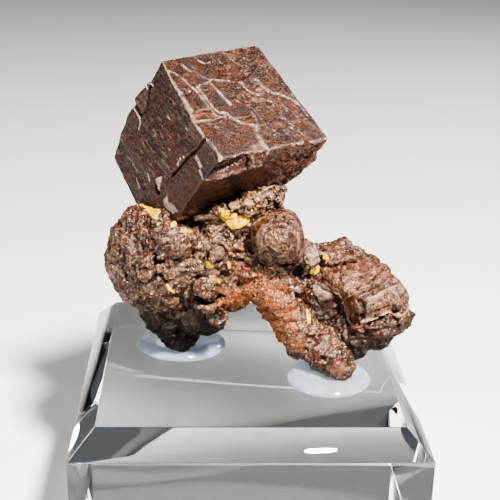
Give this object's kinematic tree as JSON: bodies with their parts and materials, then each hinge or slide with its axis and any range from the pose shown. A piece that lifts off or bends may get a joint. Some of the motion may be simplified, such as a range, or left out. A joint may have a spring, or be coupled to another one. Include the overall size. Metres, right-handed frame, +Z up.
{
  "type": "limonite pseudomorph after pyrite on a clear display block",
  "caption": "Rust-brown cube-shaped crystal on a knobbly iron-ore matrix with a smaller crystal beside it, standing on two clear gel pads on a bevelled clear block.",
  "frame": {"origin": "middle of the underside of the clear block", "axes": "+Z up, -Y towards the viewer of the picture, +X to that viewer's right"},
  "size_m": [0.0508, 0.0508, 0.0702],
  "materials": {
    "limonite": "worn flat crystal faces with a dull sheen, pale worn ridges, rust in the cracks and a rough glinting matrix with pale yellow crusts",
    "clear_acrylic": "polished clear acrylic with faint scratches and dust",
    "clear_gel": "wet-looking clear gel"
  },
  "bodies": {
    "root": {"specimen": "limonite", "acrylic_base": "clear_acrylic", "gel_pad_left": "clear_gel", "gel_pad_right": "clear_gel"}
  },
  "joints": []
}
